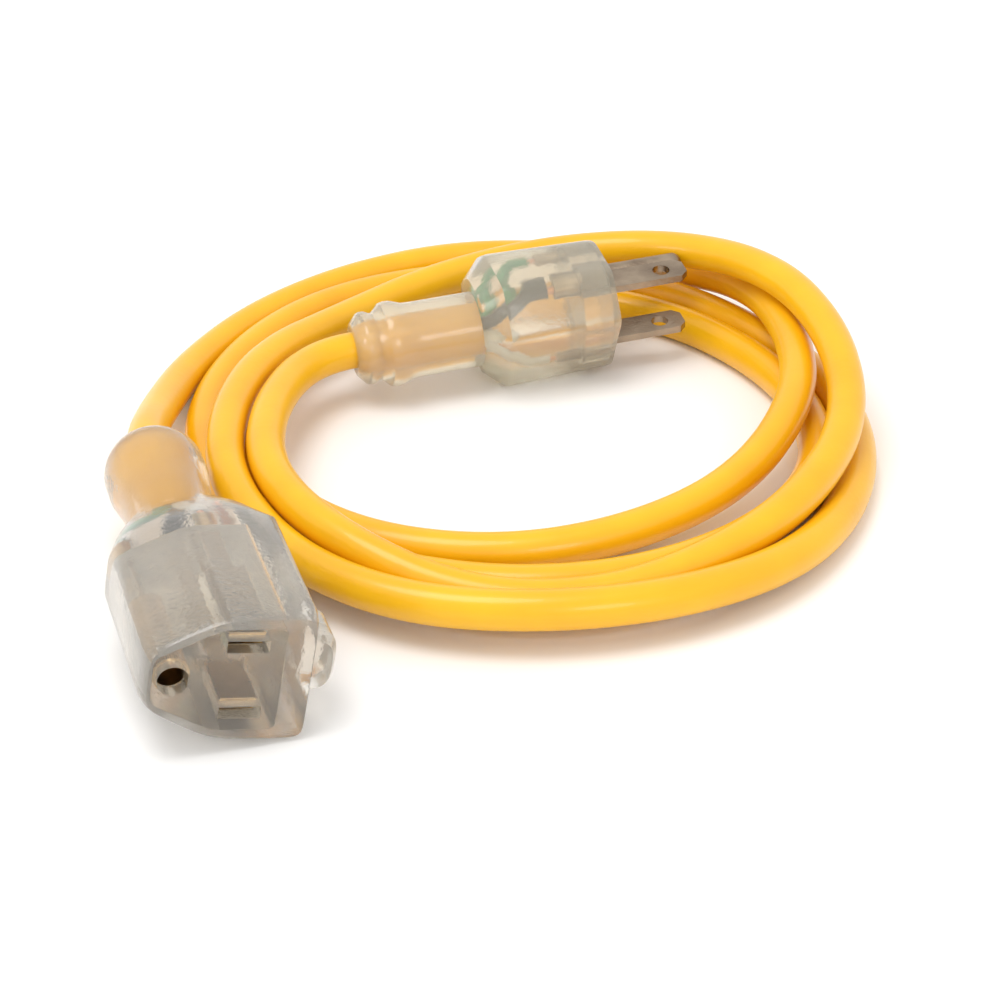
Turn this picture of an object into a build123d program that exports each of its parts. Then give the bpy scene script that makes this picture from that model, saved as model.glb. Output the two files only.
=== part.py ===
from build123d import *
from math import radians, sin, cos, tan, pi
import os

os.makedirs("parts", exist_ok=True)

# Extension cord: a yellow three-conductor cord in four loose turns on the floor, with a clear
# moulded plug at one end and a clear moulded, lighted connector at the other. Millimetres, +Z up.
# The origin is on the floor, at the middle of the box around the plug and the connector.

# ---------------------------------------------------------------- driving dimensions
cord_od = 7.5                # outer diameter of the jacket, 16/3 cord
wire_od = 2.7                # insulated conductor
strand_od = 1.3              # bare copper conductor
jacket_inside = {"plug": 27.0, "connector": 28.0}   # length of jacket inside each moulding
strand_bare = 1.5            # bare strands that show between the insulation and the barrel
wire_bend = 2.5

blade_gap = 12.7             # between the middles of the two blades
ground_gap = 11.9            # from the line of the blades to the ground pin
blade_width = 6.35
blade_thick = 1.52
blade_out = 17.0             # length of blade in front of the plug's face
blade_hole_at = 11.9         # hole's distance from the face
blade_hole_d = 3.6
blade_chamfer = 1.5
pin_d = 4.8
pin_out = 20.5
root_length = 7.0            # length of blade and pin behind the face
barrel_d = 3.4               # crimp barrel outside
barrel_length = 5.0
crimp_depth = 4.0            # length of bare strands inside a barrel

plug_at = (-13, 47.5, 11.5)      # middle of the plug's cord end
plug_yaw = 16                # degrees from +X towards +Y
plug_pitch = 3               # nose up
plug_roll = 7
plug_length = 54             # cord end to face
plug_neck_r = 7.8
plug_body_start = 26
plug_half_width = 12.5       # half of the body, across the blades
plug_ground_side = 16.5      # body's reach beyond its middle on the ground side
plug_blade_side = 12.5       # body's reach on the other side
bridge_thick = 6.0

conn_at = (-48.5, -3.5, 14.1)   # middle of the connector's cord end
conn_yaw = 17                # degrees from -Y towards +X
conn_roll = 10
conn_length = 76
collar_r = 9.4
conn_neck_r = 8.2
conn_body_start = 27
conn_half_height = 12.2      # half of the body, across the two slots
conn_ground_side = 15.5
conn_ground_flat = 5.5       # half of the flat on the ground side
conn_shoulder_x = 3.0        # where the section starts to narrow towards the ground side
carrier_half = ((-7.8, 9.6), (3.0, 9.6), (13.9, 4.2))   # half of the carrier's outline
conn_blade_side = 13.5
lug_reach = 5.0
lug_width = 12.0
lug_length = 11.0
carrier_length = 32.0
slot_width = 7.2
slot_thick = 2.2
slot_depth = 19.0
ground_hole_r = 2.7
ground_flat = 2.45           # flat of the D-shaped hole, from its middle
contact_thick = 0.5
lamp_at = 32.0               # lamp's start, from the connector's cord end
lamp_x = -6.5
lamp_d = 4.0
lamp_length = 9.0
resistor_d = 2.2
resistor_length = 6.3
resistor_y = 5.2

# ---------------------------------------------------------------- the two ends' own frames
# Each frame has its Z along the moulding, from the cord to the face, and its X towards the ground pin.


def turned(vector, roll_axis, roll, pitch, yaw):
    return Vector(vector).rotate(roll_axis, roll).rotate(Axis.Y, -pitch).rotate(Axis.Z, yaw)


plug = Plane(
    origin=plug_at,
    x_dir=turned((0, 1, 0), Axis.X, plug_roll, plug_pitch, plug_yaw),
    z_dir=turned((1, 0, 0), Axis.X, plug_roll, plug_pitch, plug_yaw),
)
conn = Plane(
    origin=conn_at,
    x_dir=turned((-1, 0, 0), Axis.Y, conn_roll, 0, conn_yaw),
    z_dir=turned((0, -1, 0), Axis.Y, conn_roll, 0, conn_yaw),
)
ends = {"plug": plug, "connector": conn}
blade_x = {"plug": -1.0, "connector": -1.5}      # line of the two blades, from the moulding's middle
core_r = wire_od / (2 * cos(radians(30))) + 0.1   # circle through the middles of three wires that all but touch

# Where each conductor leaves the jacket and where its crimp barrel is, across the frame
core_y = core_r * cos(radians(30))
cores = {"line": (-core_r / 2, core_y), "neutral": (-core_r / 2, -core_y), "ground": (core_r, 0)}


def contact_place(end, name):
    x = blade_x[end]
    return {"line": (x, blade_gap / 2), "neutral": (x, -blade_gap / 2), "ground": (x + ground_gap, 0)}[name]


pieces = []


def finish(solid, name):
    solid.label = name
    export_step(solid, f"parts/{name}.step")
    pieces.append((name, solid))


# ---------------------------------------------------------------- plug: blades and ground pin
root_at = plug_length - root_length
barrel_at = {"plug": root_at - barrel_length, "connector": conn_length - carrier_length - barrel_length - 1}
plug_metal = {}
for name in ("line", "neutral"):
    px, py = contact_place("plug", name)
    with BuildPart() as blade:
        with BuildSketch(plug.offset(root_at)):
            with Locations((px, py)):
                Rectangle(blade_width, blade_thick)
        extrude(amount=root_length + blade_out)
        tip = blade.faces().sort_by(Axis(plug.origin, plug.z_dir))[-1]
        chamfer(tip.edges().filter_by(Axis((0, 0, 0), plug.y_dir)), blade_chamfer)
        across = Plane(
            origin=plug.from_local_coords((px, py, plug_length + blade_hole_at)),
            x_dir=plug.x_dir,
            z_dir=plug.y_dir,
        )
        with BuildSketch(across):
            Circle(blade_hole_d / 2)
        extrude(amount=blade_thick, both=True, mode=Mode.SUBTRACT)
        with BuildSketch(plug.offset(barrel_at["plug"])):
            with Locations((px, py)):
                Circle(barrel_d / 2)
        extrude(amount=barrel_length + 1)
        with BuildSketch(plug.offset(barrel_at["plug"])):
            with Locations((px, py)):
                Circle(strand_od / 2)
        extrude(amount=crimp_depth, mode=Mode.SUBTRACT)
    plug_metal[name] = blade.part
    finish(blade.part, f"plug_blade_{name}")

px, py = contact_place("plug", "ground")
with BuildPart() as ground_pin:
    with BuildSketch(plug.offset(root_at)):
        with Locations((px, py)):
            Circle(pin_d / 2)
    extrude(amount=root_length + pin_out)
    tip = ground_pin.faces().sort_by(Axis(plug.origin, plug.z_dir))[-1]
    fillet(tip.edges(), pin_d / 2 * 0.8)
    with BuildSketch(plug.offset(barrel_at["plug"])):
        with Locations((px, py)):
            Circle(barrel_d / 2)
    extrude(amount=barrel_length + 1)
    with BuildSketch(plug.offset(barrel_at["plug"])):
        with Locations((px, py)):
            Circle(strand_od / 2)
    extrude(amount=crimp_depth, mode=Mode.SUBTRACT)
plug_metal["ground"] = ground_pin.part
finish(ground_pin.part, "plug_ground_pin")

# Bridge: the moulded block that holds the blades and the pin square before the body is moulded on
with BuildPart() as bridge:
    with BuildSketch(plug.offset(root_at)):
        with Locations((blade_x["plug"] + 4.0, 0)):
            RectangleRounded(21.0, 19.0, 4.0)
    extrude(amount=bridge_thick)
    for metal in plug_metal.values():
        add(metal, mode=Mode.SUBTRACT)
finish(bridge.part, "plug_bridge")

# ---------------------------------------------------------------- connector: contacts and carrier
carrier_at = conn_length - carrier_length
conn_metal = {}
slot_back = conn_length - slot_depth
for name in ("line", "neutral"):
    px, py = contact_place("connector", name)
    leaf_at = slot_thick / 2 + contact_thick / 2
    with BuildPart() as contact:
        with BuildSketch(conn.offset(slot_back)):
            with Locations((px, py + leaf_at), (px, py - leaf_at)):
                Rectangle(slot_width - 1, contact_thick)
        extrude(amount=slot_depth - 3)
        with BuildSketch(conn.offset(slot_back - contact_thick)):
            with Locations((px, py)):
                Rectangle(slot_width - 1, slot_thick + 2 * contact_thick)
        extrude(amount=contact_thick)
        with BuildSketch(conn.offset(barrel_at["connector"] + barrel_length - 1)):
            with Locations((px, py)):
                Rectangle(3.0, 1.0)
        extrude(amount=slot_back - barrel_at["connector"] - barrel_length + 1)
        with BuildSketch(conn.offset(barrel_at["connector"])):
            with Locations((px, py)):
                Circle(barrel_d / 2)
        extrude(amount=barrel_length)
        with BuildSketch(conn.offset(barrel_at["connector"])):
            with Locations((px, py)):
                Circle(strand_od / 2)
        extrude(amount=crimp_depth, mode=Mode.SUBTRACT)
    conn_metal[name] = contact.part
    finish(contact.part, f"connector_contact_{name}")

px, py = contact_place("connector", "ground")
with BuildPart() as ground_contact:
    with BuildSketch(conn.offset(slot_back)):
        with Locations((px, py)):
            Circle(ground_hole_r + contact_thick)
            Circle(ground_hole_r, mode=Mode.SUBTRACT)
    extrude(amount=slot_depth - 3)
    with BuildSketch(conn.offset(slot_back - contact_thick)):
        with Locations((px, py)):
            Circle(ground_hole_r + contact_thick)
    extrude(amount=contact_thick)
    with BuildSketch(conn.offset(barrel_at["connector"] + barrel_length - 1)):
        with Locations((px, py)):
            Rectangle(1.0, 3.0)
    extrude(amount=slot_back - barrel_at["connector"] - barrel_length + 1)
    with BuildSketch(conn.offset(barrel_at["connector"])):
        with Locations((px, py)):
            Circle(barrel_d / 2)
    extrude(amount=barrel_length)
    with BuildSketch(conn.offset(barrel_at["connector"])):
        with Locations((px, py)):
            Circle(strand_od / 2)
    extrude(amount=crimp_depth, mode=Mode.SUBTRACT)
conn_metal["ground"] = ground_contact.part
finish(ground_contact.part, "connector_contact_ground")

carrier_corners = [(x, y) for x, y in carrier_half] + [(x, -y) for x, y in reversed(carrier_half)]

# Carrier: the rigid block that the contacts are pushed into, flush with the connector's face
with BuildPart() as carrier:
    with BuildSketch(conn.offset(carrier_at)):
        with BuildLine():
            Polyline(*carrier_corners, close=True)
        make_face()
        fillet(vertices(), 1.2)
    extrude(amount=carrier_length)
    with BuildSketch(conn.offset(slot_back)):
        with Locations(contact_place("connector", "line"), contact_place("connector", "neutral")):
            Rectangle(slot_width, slot_thick)
    extrude(amount=slot_depth, mode=Mode.SUBTRACT)
    with BuildSketch(conn.offset(slot_back)):
        with Locations(contact_place("connector", "ground")):
            Circle(ground_hole_r)
        flat_x = contact_place("connector", "ground")[0] - ground_flat
        with Locations((flat_x - 2, 0)):
            Rectangle(4, 8, mode=Mode.SUBTRACT)
    extrude(amount=slot_depth, mode=Mode.SUBTRACT)
    for metal in conn_metal.values():
        add(metal, mode=Mode.SUBTRACT)
finish(carrier.part, "connector_carrier")

# ---------------------------------------------------------------- wires and strands inside the mouldings
# Each end: the jacket runs on inside the moulding, then three insulated wires spread to the barrels,
# and each wire's bare strands end in its barrel.
for end, frame in ends.items():
    jacket_top = jacket_inside[end]
    with BuildPart() as jacket_end:
        with BuildSketch(frame):
            Circle(cord_od / 2)
        extrude(amount=jacket_top)
    finish(jacket_end.part, f"{end}_jacket_end")

    for name, (cx, cy) in cores.items():
        px, py = contact_place(end, name)
        wire_end = barrel_at[end] - strand_bare
        wire_run = wire_end - jacket_top
        low = (cx, cy, jacket_top)
        knee = (cx, cy, jacket_top + 0.3 * wire_run)
        bend = (px, py, wire_end - 0.3 * wire_run)
        high = (px, py, wire_end)
        with BuildPart() as wire:
            with BuildLine() as path:
                FilletPolyline([frame.from_local_coords(p) for p in (low, knee, bend, high)], radius=wire_bend)
            with BuildSketch(frame.offset(jacket_top)):
                with Locations((cx, cy)):
                    Circle(wire_od / 2)
            sweep(path=path.line)
        finish(wire.part, f"{end}_wire_{name}")
        with BuildPart() as strands:
            with BuildSketch(frame.offset(wire_end)):
                with Locations((px, py)):
                    Circle(strand_od / 2)
            extrude(amount=strand_bare + crimp_depth)
        finish(strands.part, f"{end}_strands_{name}")

# ---------------------------------------------------------------- indicator lamp in the connector
lamp = conn.offset(lamp_at)
with BuildPart() as lamp_glass:
    with BuildSketch(lamp):
        with Locations((lamp_x, 0)):
            Circle(lamp_d / 2)
    extrude(amount=lamp_length)
    fillet(lamp_glass.edges().sort_by(Axis(conn.origin, conn.z_dir))[-1], lamp_d / 2 - 0.3)
    for side in (1, -1):
        with BuildSketch(lamp):
            with Locations((lamp_x, side * 0.8)):
                Circle(0.3)
        extrude(amount=lamp_length - 3, mode=Mode.SUBTRACT)
finish(lamp_glass.part, "lamp_glass")
for side, lead_name in ((1, "near"), (-1, "far")):
    with BuildPart() as lead:
        with BuildSketch(lamp.offset(-3)):
            with Locations((lamp_x, side * 0.8)):
                Circle(0.3)
        extrude(amount=lamp_length)
    finish(lead.part, f"lamp_lead_{lead_name}")
with BuildPart() as resistor:
    with BuildSketch(conn.offset(lamp_at + 1)):
        with Locations((lamp_x - 0.5, resistor_y)):
            Circle(resistor_d / 2)
    extrude(amount=resistor_length)
    fillet(resistor.edges(), 0.5)
finish(resistor.part, "lamp_resistor")

# ---------------------------------------------------------------- plug body
inside = {"plug": [], "connector": []}
for name, solid in pieces:
    lamp_side = name.startswith(("lamp", "connector"))
    inside["connector" if lamp_side else "plug"].append(solid)

# A ribbed strain relief, then a six-sided grip that narrows slightly to the face
plug_lathe = Plane(origin=plug.origin, x_dir=plug.x_dir, z_dir=-plug.y_dir)
with BuildPart() as plug_body:
    with BuildSketch(plug_lathe):
        with BuildLine():
            Polyline(
                (0, 0),
                (5.4, 0),
                (7.5, 1.6),
                (7.5, 3.6),
                (6.9, 4.7),
                (8.8, 6.8),
                (8.8, 9.2),
                (plug_neck_r, 12),
                (plug_neck_r, plug_body_start + 3),
                (0, plug_body_start + 3),
                close=True,
            )
        make_face()
    revolve(axis=Axis(plug.origin, plug.z_dir))
    for height, scale in ((plug_body_start, 0.72), (plug_body_start + 5, 1.0), (plug_length, 0.95)):
        side = plug_half_width * scale
        near = -plug_blade_side * scale
        far = plug_ground_side * scale
        with BuildSketch(plug.offset(height)):
            with BuildLine():
                Polyline(
                    (near, 0.3 * side),
                    (0.45 * near, side),
                    (0.5 * far, side),
                    (far, 0.5 * side),
                    (far, -0.5 * side),
                    (0.5 * far, -side),
                    (0.45 * near, -side),
                    close=True,
                )
            make_face()
            fillet(vertices(), 1.8)
    loft(ruled=True)
    for solid in inside["plug"]:
        add(solid, mode=Mode.SUBTRACT)
finish(plug_body.part, "plug_body")

# ---------------------------------------------------------------- connector body
# A collar, a neck and a rounded grip with a lug on the blade side next to the face
conn_lathe = Plane(origin=conn.origin, x_dir=conn.x_dir, z_dir=-conn.y_dir)
grip_half = (
    (-conn_blade_side, conn_half_height),
    (conn_shoulder_x, conn_half_height),
    (conn_ground_side, conn_ground_flat),
)
grip_corners = [(x, y) for x, y in grip_half] + [(x, -y) for x, y in reversed(grip_half)]
with BuildPart() as connector_body:
    with BuildSketch(conn_lathe):
        with BuildLine():
            Polyline(
                (0, 0),
                (6.5, 0),
                (8.6, 1.5),
                (collar_r, 4.5),
                (collar_r, 9),
                (8.6, 14),
                (conn_neck_r, 18),
                (conn_neck_r, conn_body_start + 3),
                (0, conn_body_start + 3),
                close=True,
            )
        make_face()
    revolve(axis=Axis(conn.origin, conn.z_dir))
    for height, scale in ((conn_body_start, 0.69), (40, 1.0), (conn_length - 3, 1.0), (conn_length, 0.95)):
        with BuildSketch(conn.offset(height)):
            with BuildLine():
                Polyline(*[(scale * x, scale * y) for x, y in grip_corners], close=True)
            make_face()
            fillet(vertices(), 2.2 * scale)
    loft(ruled=True)
    with BuildSketch(conn.offset(conn_length - 4 - lug_length)):
        with Locations((-conn_blade_side - lug_reach / 2 + 1, 0)):
            RectangleRounded(lug_reach + 2, lug_width, 2.4)
    extrude(amount=lug_length)
    with BuildSketch(conn.offset(carrier_at)):
        with BuildLine():
            Polyline(*carrier_corners, close=True)
        make_face()
        fillet(vertices(), 1.2)
    extrude(amount=carrier_length, mode=Mode.SUBTRACT)
    for solid in inside["connector"]:
        add(solid, mode=Mode.SUBTRACT)
finish(connector_body.part, "connector_body")

# ---------------------------------------------------------------- cord
# One length of cord in a little over four loose turns, seen from above running clockwise from the
# connector. Each turn has its own size, and it climbs where it crosses the turns that lie under it.
cord_route = [
    conn.origin,
    conn.from_local_coords((0, 0, -8)),
    # first turn: down from the connector, over the back, down the right side, across the front
    (-51, 29.5, 7.5), (-47.5, 55, 3.75), (-35.5, 78.5, 3.75), (-17, 97, 3.75), (6.5, 109, 3.75),
    (32.5, 109, 3.75), (56, 97.5, 7), (72, 77, 12), (78, 51.5, 12), (76, 25.5, 11.5),
    (63.5, 3, 6.5), (43, -13, 4.5), (18, -20.5, 3.75), (-8, -15.5, 3.75), (-27, 2.5, 3.75),
    # second turn: flat on the floor all the way
    (-35.5, 27, 3.75), (-32, 53, 3.75), (-18, 75, 3.75), (4, 88, 3.75), (30, 89, 3.75),
    (54, 78.5, 3.75), (71, 59, 3.75), (80, 35, 3.75), (79, 9, 3.75), (65, -13, 3.75),
    (43.5, -27.5, 3.75), (18, -31.5, 3.75), (-7, -24.5, 3.75), (-28, -9, 3.75), (-41, 14, 3.75),
    # third turn: beside the second, then the widest at the front, up on to the left side
    (-43, 39.5, 3.75), (-35, 64, 5), (-19.5, 85, 4.5), (3.5, 97, 3.75), (29.5, 99, 3.75),
    (54, 90, 3.75), (72, 71, 3.75), (84.5, 48.5, 3.75), (88.5, 23, 3.75), (83.5, -2.5, 3.75),
    (71, -25.5, 6), (50.5, -41, 8), (25.5, -47, 8.5), (-0.5, -43.5, 8), (-21.5, -28.5, 8.5),
    # last turn: on top of the others, and back over the front to the plug
    (-34.5, -6.5, 11.5), (-36.5, 19.5, 12), (-31, 45, 11.5), (-16.5, 67, 8.5), (3.5, 83.5, 10.5),
    (28.5, 91, 13.5), (54.5, 86.5, 17), (74.5, 67.5, 20.5), (84.5, 43, 18), (85.5, 17.5, 13),
    (76, -6.5, 10.5), (59.5, -26, 8.5), (36.5, -38, 5.5), (10.5, -38.5, 6), (-12.5, -27.5, 11.5),
    (-27, -6, 13), (-28.5, 20, 13),
    plug.from_local_coords((0, 0, -9)),
    plug.origin,
]
points = [Vector(p) for p in cord_route]
bend_radii = []
for before, corner, after in zip(points, points[1:], points[2:]):
    run = min((corner - before).length, (after - corner).length)
    half_turn = radians((corner - before).get_angle(after - corner)) / 2
    bend_radii.append(0.45 * run / tan(half_turn))
print("bend radii of the cord, mm:", [round(r) for r in bend_radii])
with BuildPart() as cord:
    with BuildLine() as cord_line:
        FilletPolyline(points, radius=bend_radii)
    with BuildSketch(Plane(origin=points[0], z_dir=points[1] - points[0])):
        Circle(cord_od / 2)
    sweep(path=cord_line.line)
cord_length = sum(edge.length for edge in cord_line.line.edges())
section = pi * cord_od**2 / 4
print(f"cord: {cord_length:.0f} mm long, {cord.part.volume:.0f} mm3, section x length {section * cord_length:.0f} mm3")
finish(cord.part, "cord")
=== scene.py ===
import bmesh
import bpy
from math import cos, pi, radians, sin
from mathutils import Matrix, Vector


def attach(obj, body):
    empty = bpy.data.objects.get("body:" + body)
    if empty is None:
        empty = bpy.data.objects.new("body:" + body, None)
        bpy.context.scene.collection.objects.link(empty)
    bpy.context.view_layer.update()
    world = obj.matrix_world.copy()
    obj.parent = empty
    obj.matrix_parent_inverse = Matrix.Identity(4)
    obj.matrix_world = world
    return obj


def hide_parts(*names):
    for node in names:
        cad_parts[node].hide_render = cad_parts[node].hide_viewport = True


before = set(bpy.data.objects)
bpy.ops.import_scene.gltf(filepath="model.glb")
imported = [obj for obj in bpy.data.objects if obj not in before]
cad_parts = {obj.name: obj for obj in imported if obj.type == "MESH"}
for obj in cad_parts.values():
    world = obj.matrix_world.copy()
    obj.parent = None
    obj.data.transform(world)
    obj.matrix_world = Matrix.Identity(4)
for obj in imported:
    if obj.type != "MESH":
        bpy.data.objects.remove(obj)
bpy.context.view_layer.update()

# ---------------------------------------------------------------- camera
# A long lens from the front, about 30 degrees above the floor, looks at the middle of the coil.
# Heights and distances are in metres.
camera_height = 0.2583
camera_back = 0.4421
look_at = Vector((0.017, 0.0065, 0.0))
camera = bpy.data.objects.new("camera", bpy.data.cameras.new("camera"))
camera.location = look_at + Vector((0, -camera_back, camera_height))
camera.rotation_euler = (look_at - camera.location).to_track_quat("-Z", "Y").to_euler()
camera.data.lens = 95.4
camera.data.clip_start = 0.01
bpy.context.collection.objects.link(camera)
bpy.context.scene.camera = camera

# ---------------------------------------------------------------- light and floor
# A product table: a near-white floor under a wide soft light from above, with one weaker light on the
# left and one at the front. The world around it is almost white, so the shadows stay soft.
world = bpy.data.worlds.new("studio")
world.use_nodes = True
world.node_tree.nodes["Background"].inputs["Color"].default_value = (1.0, 0.995, 0.985, 1)
world.node_tree.nodes["Background"].inputs["Strength"].default_value = 0.96
bpy.context.scene.world = world
bpy.context.scene.view_settings.view_transform = "Standard"
bpy.context.scene.cycles.transmission_bounces = 12
bpy.context.scene.cycles.max_bounces = 16


def area_light(name, place, size, power, colour=(1, 1, 1)):
    light = bpy.data.objects.new(name, bpy.data.lights.new(name, "AREA"))
    light.data.shape = "DISK"
    light.data.size = size
    light.data.energy = power
    light.data.color = colour
    light.location = place
    light.rotation_euler = (look_at - light.location).to_track_quat("-Z", "Y").to_euler()
    bpy.context.collection.objects.link(light)


area_light("light_top", Vector((-0.15, -0.10, 0.75)), 0.45, 2.4)
area_light("light_left", Vector((-0.75, -0.35, 0.35)), 0.30, 1.1, (1.0, 0.98, 0.94))
area_light("light_front", Vector((0.35, -0.75, 0.45)), 0.30, 0.9)

floor = bpy.data.objects.new("floor", bpy.data.meshes.new("floor"))
reach = 3.0
floor.data.from_pydata(
    [(-reach, -reach, 0), (reach, -reach, 0), (reach, reach, 0), (-reach, reach, 0)], [], [(0, 1, 2, 3)]
)
bpy.context.collection.objects.link(floor)
paper = bpy.data.materials.new("paper")
paper.use_nodes = True
paper_shader = paper.node_tree.nodes["Principled BSDF"]
paper_shader.inputs["Base Color"].default_value = (0.93, 0.925, 0.92, 1)
paper_shader.inputs["Roughness"].default_value = 0.9
floor.data.materials.append(paper)


# ---------------------------------------------------------------- materials
# Each finish is one shader whose colour drifts a little with soft noise between two close shades.
# A finer noise gives its surface a slight bump. Clear finishes let light through.
def material(name, colour, second, roughness, grain, bump, clear=0.0, metal=0.0, ior=1.46, coat=0.0):
    made = bpy.data.materials.new(name)
    made.use_nodes = True
    nodes, links = made.node_tree.nodes, made.node_tree.links
    shader = nodes["Principled BSDF"]
    place = nodes.new("ShaderNodeTexCoord")
    noise = nodes.new("ShaderNodeTexNoise")
    noise.inputs["Scale"].default_value = grain
    noise.inputs["Detail"].default_value = 4.0
    ramp = nodes.new("ShaderNodeValToRGB")
    ramp.color_ramp.elements[0].position = 0.3
    ramp.color_ramp.elements[0].color = (*second, 1)
    ramp.color_ramp.elements[1].position = 0.7
    ramp.color_ramp.elements[1].color = (*colour, 1)
    fine = nodes.new("ShaderNodeTexNoise")
    fine.inputs["Scale"].default_value = grain * 12
    height = nodes.new("ShaderNodeBump")
    height.inputs["Strength"].default_value = bump
    height.inputs["Distance"].default_value = 0.0003
    links.new(place.outputs["Object"], noise.inputs["Vector"])
    links.new(place.outputs["Object"], fine.inputs["Vector"])
    links.new(noise.outputs["Fac"], ramp.inputs["Fac"])
    links.new(ramp.outputs["Color"], shader.inputs["Base Color"])
    links.new(fine.outputs["Fac"], height.inputs["Height"])
    links.new(height.outputs["Normal"], shader.inputs["Normal"])
    shader.inputs["Roughness"].default_value = roughness
    shader.inputs["Metallic"].default_value = metal
    shader.inputs["Transmission Weight"].default_value = clear
    shader.inputs["IOR"].default_value = ior
    shader.inputs["Coat Weight"].default_value = coat
    return made


jacket_yellow = material("jacket_yellow", (0.88, 0.47, 0.003), (0.80, 0.40, 0.002), 0.33, 60, 0.10, coat=0.2)
clear_pvc = material(
    "clear_pvc", (0.96, 0.90, 0.74), (0.92, 0.85, 0.66),
    0.20, 90, 0.25, clear=0.80, coat=0.3,
)
clear_pvc_pale = material(
    "clear_pvc_pale", (0.97, 0.93, 0.86), (0.93, 0.88, 0.79),
    0.16, 90, 0.3, clear=0.90, coat=0.3,
)
block_milky = material(
    "block_milky", (0.98, 0.95, 0.89), (0.96, 0.91, 0.83),
    0.12, 120, 0.3, clear=0.90, ior=1.30,
)
plated = material("plated_brass", (0.42, 0.33, 0.24), (0.24, 0.18, 0.13), 0.32, 160, 0.3, metal=1.0)
contact_brass = material("contact_brass", (0.62, 0.45, 0.24), (0.45, 0.31, 0.16), 0.30, 160, 0.2, metal=1.0)
copper = material("copper", (0.80, 0.40, 0.22), (0.62, 0.29, 0.15), 0.35, 300, 0.4, metal=1.0)
wire_black = material("wire_black", (0.012, 0.012, 0.016), (0.02, 0.02, 0.024), 0.35, 120, 0.1)
wire_white = material("wire_white", (0.80, 0.79, 0.74), (0.72, 0.71, 0.66), 0.35, 120, 0.1)
wire_green = material("wire_green", (0.03, 0.27, 0.10), (0.02, 0.20, 0.07), 0.35, 120, 0.1)
lamp_clear = material("lamp_clear", (1.0, 0.93, 0.85), (1.0, 0.90, 0.80), 0.05, 120, 0.02, clear=0.95)
resistor_tan = material("resistor_tan", (0.55, 0.38, 0.20), (0.48, 0.32, 0.16), 0.4, 200, 0.1)


def finish_of(node):
    if "strands" in node or "lead" in node:
        return copper
    finishes = {
        "wire_line": wire_black,
        "wire_neutral": wire_white,
        "wire_ground": wire_green,
        "jacket": jacket_yellow,
        "plug_bridge": block_milky,
        "carrier": block_milky,
    }
    for word, finish in finishes.items():
        if word in node:
            return finish
    if "connector_contact" in node:
        return contact_brass
    if "plug" in node:
        return plated
    return resistor_tan if "resistor" in node else lamp_clear


for node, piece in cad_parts.items():
    piece.data.materials.clear()
    piece.data.materials.append(finish_of(node))


# ---------------------------------------------------------------- the two ends' own frames
# Z runs from the cord to the face, and X towards the ground pin or the ground hole. Each end lies turned
# and a little rolled on the coil or on the floor.
def end_frame(origin, x_axis, z_axis):
    x = x_axis.normalized()
    z = z_axis.normalized()
    y = z.cross(x)
    turned = Matrix((x, y, z)).transposed().to_4x4()
    return Matrix.Translation(origin) @ turned


plug_at = Vector((-0.013, 0.0475, 0.0115))
plug_yaw = Matrix.Rotation(radians(16), 3, "Z")
plug_pitch = Matrix.Rotation(radians(-3), 3, "Y")
plug_roll = Matrix.Rotation(radians(7), 3, "X")
plug_turn = plug_yaw @ plug_pitch @ plug_roll
plug_frame = end_frame(plug_at, plug_turn @ Vector((0, 1, 0)), plug_turn @ Vector((1, 0, 0)))

conn_at = Vector((-0.0485, -0.0035, 0.0141))
conn_yaw = Matrix.Rotation(radians(17), 3, "Z")
conn_roll = Matrix.Rotation(radians(10), 3, "Y")
conn_turn = conn_yaw @ conn_roll
conn_frame = end_frame(conn_at, conn_turn @ Vector((-1, 0, 0)), conn_turn @ Vector((0, -1, 0)))

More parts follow.
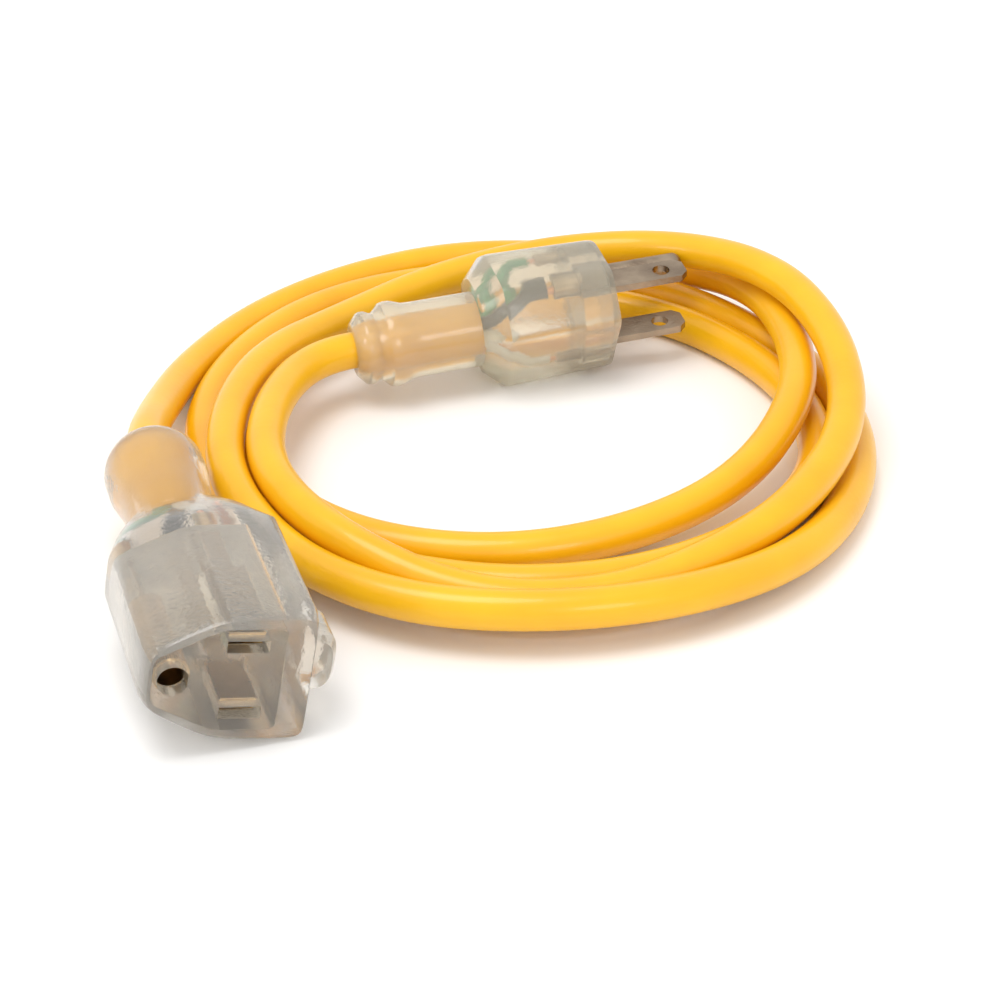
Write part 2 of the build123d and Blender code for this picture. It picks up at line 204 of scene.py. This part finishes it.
# ---------------------------------------------------------------- cord
# The free cord in its jacket: one smooth line from the connector, a little over four loose turns
# clockwise, to the plug. The same points as the cord in the CAD frame, in metres.
cord_width = 0.0075
cord_route = [
    conn_frame @ Vector((0, 0, 0)),
    conn_frame @ Vector((0, 0, -0.008)),
    # first turn: down from the connector, over the back, down the right side, across the front
    (-0.051, 0.0295, 0.0075), (-0.0475, 0.055, 0.00375), (-0.0355, 0.0785, 0.00375),
    (-0.017, 0.097, 0.00375), (0.0065, 0.109, 0.00375), (0.0325, 0.109, 0.00375),
    (0.056, 0.0975, 0.007), (0.072, 0.077, 0.012), (0.078, 0.0515, 0.012),
    (0.076, 0.0255, 0.0115), (0.0635, 0.003, 0.0065), (0.043, -0.013, 0.0045),
    (0.018, -0.0205, 0.00375), (-0.008, -0.0155, 0.00375), (-0.027, 0.0025, 0.00375),
    # second turn: flat on the floor all the way
    (-0.0355, 0.027, 0.00375), (-0.032, 0.053, 0.00375), (-0.018, 0.075, 0.00375),
    (0.004, 0.088, 0.00375), (0.03, 0.089, 0.00375), (0.054, 0.0785, 0.00375),
    (0.071, 0.059, 0.00375), (0.08, 0.035, 0.00375), (0.079, 0.009, 0.00375),
    (0.065, -0.013, 0.00375), (0.0435, -0.0275, 0.00375), (0.018, -0.0315, 0.00375),
    (-0.007, -0.0245, 0.00375), (-0.028, -0.009, 0.00375), (-0.041, 0.014, 0.00375),
    # third turn: beside the second, then the widest at the front, up on to the left side
    (-0.043, 0.0395, 0.00375), (-0.035, 0.064, 0.005), (-0.0195, 0.085, 0.0045),
    (0.0035, 0.097, 0.00375), (0.0295, 0.099, 0.00375), (0.054, 0.09, 0.00375),
    (0.072, 0.071, 0.00375), (0.0845, 0.0485, 0.00375), (0.0885, 0.023, 0.00375),
    (0.0835, -0.0025, 0.00375), (0.071, -0.0255, 0.006), (0.0505, -0.041, 0.008),
    (0.0255, -0.047, 0.0085), (-0.0005, -0.0435, 0.008), (-0.0215, -0.0285, 0.0085),
    # last turn: on top of the others, and back over the front to the plug
    (-0.0345, -0.0065, 0.0115), (-0.0365, 0.0195, 0.012), (-0.031, 0.045, 0.0115),
    (-0.0165, 0.067, 0.0085), (0.0035, 0.0835, 0.0105), (0.0285, 0.091, 0.0135),
    (0.0545, 0.0865, 0.017), (0.0745, 0.0675, 0.0205), (0.0845, 0.043, 0.018),
    (0.0855, 0.0175, 0.013), (0.076, -0.0065, 0.0105), (0.0595, -0.026, 0.0085),
    (0.0365, -0.038, 0.0055), (0.0105, -0.0385, 0.006), (-0.0125, -0.0275, 0.0115),
    (-0.027, -0.006, 0.013), (-0.0285, 0.02, 0.013),
    plug_frame @ Vector((0, 0, -0.009)),
    plug_frame @ Vector((0, 0, 0)),
]
cord_curve = bpy.data.curves.new("cord_jacket", "CURVE")
cord_curve.dimensions = "3D"
cord_curve.bevel_depth = cord_width / 2
cord_curve.bevel_resolution = 8
cord_curve.resolution_u = 14
line = cord_curve.splines.new("NURBS")
line.points.add(len(cord_route) - 1)
for point, place in zip(line.points, cord_route):
    point.co = (*place, 1)
line.order_u = 3
line.use_endpoint_u = True
cord_curve.materials.append(jacket_yellow)
cord = bpy.data.objects.new("cord_jacket", cord_curve)
bpy.context.collection.objects.link(cord)
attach(cord, "root")
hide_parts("cord")


# ---------------------------------------------------------------- moulded bodies
# A body is one skin of rings along its end's frame. A ring is round, or it has flat sides with rounded
# corners: the higher its roundness number, the sharper the corners.
def flat_sides(corners):
    sides = []
    for (x1, y1), (x2, y2) in zip(corners, corners[1:] + corners[:1]):
        normal = Vector((y2 - y1, x1 - x2)).normalized()
        reach = normal.x * x1 + normal.y * y1
        sides.append((normal * (1 if reach > 0 else -1), abs(reach)))
    return sides


def outline(sides, roundness, angle, scale=1.0):
    way = Vector((cos(angle), sin(angle)))
    total = sum(max(0.0, normal.dot(way) / (reach * scale)) ** roundness for normal, reach in sides)
    return total ** (-1 / roundness)


def moulded(name, place, rings, finish, steps=144):
    mesh = bpy.data.meshes.new(name)
    skin = bmesh.new()
    loops = []
    for height, radius in rings:
        loop = []
        for step in range(steps):
            angle = 2 * pi * step / steps
            r = radius(angle) if callable(radius) else radius
            loop.append(skin.verts.new((r * cos(angle), r * sin(angle), height)))
        loops.append(loop)
    for low, high in zip(loops, loops[1:]):
        for i in range(steps):
            j = (i + 1) % steps
            skin.faces.new((low[i], low[j], high[j], high[i]))
    skin.faces.new(list(reversed(loops[0])))
    skin.faces.new(loops[-1])
    bmesh.ops.recalc_face_normals(skin, faces=skin.faces)
    for face in skin.faces:
        face.smooth = len(face.verts) == 4
    for edge in skin.edges:
        edge.smooth = not edge.is_manifold or edge.calc_face_angle(0) < radians(28)
    skin.transform(place)
    skin.to_mesh(mesh)
    skin.free()
    mesh.materials.append(finish)
    made = bpy.data.objects.new(name, mesh)
    bpy.context.collection.objects.link(made)
    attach(made, "root")
    return made


# ---------------------------------------------------------------- plug body
# Two beads and a groove of strain relief, a round neck, and a seven-sided grip that narrows to the face.
# The blades pass through the face.
plug_sides = flat_sides(
    [
        (-0.0125, 0.00375),
        (-0.0056, 0.0125),
        (0.00825, 0.0125),
        (0.0165, 0.00625),
        (0.0165, -0.00625),
        (0.00825, -0.0125),
        (-0.0056, -0.0125),
    ]
)


def plug_grip(scale):
    return lambda angle: outline(plug_sides, 22, angle, scale)


plug_rings = [
    (0.0, 0.0050),
    (0.0002, 0.0056),
    (0.0016, 0.0072),
    (0.0022, 0.0075),
    (0.0032, 0.0075),
    (0.0040, 0.0071),
    (0.0047, 0.0069),
    (0.0054, 0.0074),
    (0.0066, 0.0086),
    (0.0076, 0.0088),
    (0.0086, 0.0088),
    (0.0096, 0.0085),
    (0.0112, 0.0079),
    (0.0130, 0.0078),
    (0.0258, 0.0078),
    (0.0262, plug_grip(0.70)),
    (0.0305, plug_grip(0.985)),
    (0.0315, plug_grip(0.995)),
    (0.0525, plug_grip(0.952)),
    (0.0536, plug_grip(0.94)),
    (0.0540, plug_grip(0.92)),
]
plug_body = moulded("plug_moulding", plug_frame, plug_rings, clear_pvc)
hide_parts("plug_body")

# ---------------------------------------------------------------- connector body
# A rounded collar, a neck, a grip that swells to its full width, and a pocket at the face in which the
# carrier sits flush. A lug stands out just behind the face, on the side away from the ground hole.
conn_half = [(-0.0135, 0.0122), (0.003, 0.0122), (0.0155, 0.0055)]
conn_sides = flat_sides(conn_half + [(x, -y) for x, y in reversed(conn_half)])
pocket_half = [(-0.00785, 0.00965), (0.003, 0.00965), (0.01395, 0.00425)]
pocket_sides = flat_sides(pocket_half + [(x, -y) for x, y in reversed(pocket_half)])


def conn_grip(scale, roundness=14):
    return lambda angle: outline(conn_sides, roundness, angle, scale)


def conn_pocket(angle):
    return outline(pocket_sides, 26, angle)


conn_rings = [
    (0.0, 0.0060),
    (0.0003, 0.0068),
    (0.0015, 0.0085),
    (0.0030, 0.0091),
    (0.0045, 0.0094),
    (0.0090, 0.0094),
    (0.0110, 0.0091),
    (0.0140, 0.0086),
    (0.0180, 0.0082),
    (0.0255, 0.0082),
    (0.0275, conn_grip(0.69, 4)),
    (0.0320, conn_grip(0.82, 5)),
    (0.0380, conn_grip(0.955, 6)),
    (0.0420, conn_grip(1.0)),
    (0.0725, conn_grip(1.0)),
    (0.0748, conn_grip(0.975)),
    (0.0757, conn_grip(0.955)),
    (0.0760, conn_grip(0.94)),
    (0.0760, conn_pocket),
    (0.0439, conn_pocket),
]
connector_body = moulded("connector_moulding", conn_frame, conn_rings, clear_pvc_pale)
lug_half_x = 0.0044
lug_half_y = 0.0058
lug_sides = flat_sides(
    [
        (-lug_half_x, -lug_half_y),
        (lug_half_x, -lug_half_y),
        (lug_half_x, lug_half_y),
        (-lug_half_x, lug_half_y),
    ]
)


def lug_outline(scale):
    return lambda angle: outline(lug_sides, 3, angle, scale)


lug_rings = [
    (0.0612, lug_outline(0.78)),
    (0.0630, lug_outline(1.0)),
    (0.0700, lug_outline(1.0)),
    (0.0718, lug_outline(0.78)),
]
lug_frame = conn_frame @ Matrix.Translation((-0.0140, 0, 0))
lug = moulded("connector_lug", lug_frame, lug_rings, clear_pvc_pale, 64)
join = connector_body.modifiers.new("join", "BOOLEAN")
join.operation = "UNION"
join.solver = "EXACT"
join.object = lug
evaluated = connector_body.evaluated_get(bpy.context.evaluated_depsgraph_get())
joined = bpy.data.meshes.new_from_object(evaluated)
connector_body.modifiers.clear()
connector_body.data = joined
bpy.data.objects.remove(lug)
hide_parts("connector_body")
